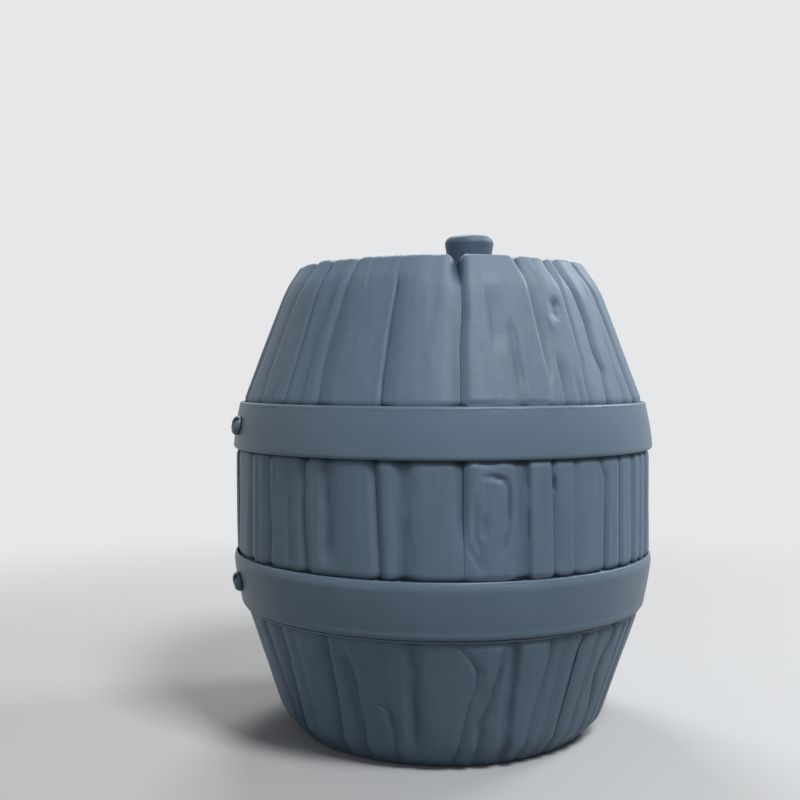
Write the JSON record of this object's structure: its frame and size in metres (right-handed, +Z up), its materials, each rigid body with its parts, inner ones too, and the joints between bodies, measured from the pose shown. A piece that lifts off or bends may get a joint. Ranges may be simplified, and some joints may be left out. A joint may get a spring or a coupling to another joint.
{
  "type": "barrel",
  "caption": "Small stave cask with a straight belly and tapered ends, broad lapped iron hoops held by slotted screws, and a tapered stopper that lifts out of the top head.",
  "frame": {"origin": "middle of the base, on the plane that the stave ends stand on", "axes": "+Z up along the cask's axis; the side with the joints seen in the picture faces -Y, and the stopper stands off the axis towards +X"},
  "size_m": [0.4358, 0.4358, 0.512],
  "materials": {
    "stave_wood": "matte slate-grey stain over worn wood",
    "head_wood": "matte slate-grey stain over worn wood",
    "dowel_wood": "plain wood",
    "hoop_iron": "matte slate-grey paint on iron",
    "screw_iron": "matte slate-grey paint on iron",
    "stopper_wood": "matte slate-grey stain, turned"
  },
  "bodies": {
    "cask": {"stave_01": "stave_wood", "stave_02": "stave_wood", "stave_03": "stave_wood", "stave_04": "stave_wood", "stave_05": "stave_wood", "stave_06": "stave_wood", "stave_07": "stave_wood", "stave_08": "stave_wood", "stave_09": "stave_wood", "stave_10": "stave_wood", "stave_11": "stave_wood", "stave_12": "stave_wood", "stave_13": "stave_wood", "stave_14": "stave_wood", "stave_15": "stave_wood", "stave_16": "stave_wood", "stave_17": "stave_wood", "stave_18": "stave_wood", "stave_19": "stave_wood", "stave_20": "stave_wood", "stave_21": "stave_wood", "stave_22": "stave_wood", "stave_23": "stave_wood", "stave_24": "stave_wood", "top_board_1": "head_wood", "top_board_2": "head_wood", "top_board_3": "head_wood", "top_board_4": "head_wood", "top_board_5": "head_wood", "base_board_1": "head_wood", "base_board_2": "head_wood", "base_board_3": "head_wood", "base_board_4": "head_wood", "base_board_5": "head_wood", "top_dowels": "dowel_wood", "base_dowels": "dowel_wood", "lower_hoop": "hoop_iron", "upper_hoop": "hoop_iron", "lower_hoop_screw": "screw_iron", "upper_hoop_screw": "screw_iron"},
    "stopper": {"stopper": "stopper_wood"}
  },
  "joints": [
    {"name": "stopper_lift", "type": "slide", "parent": "cask", "child": "stopper", "axis": [0, 0, 1], "range_m": [0, 0.08]}
  ]
}
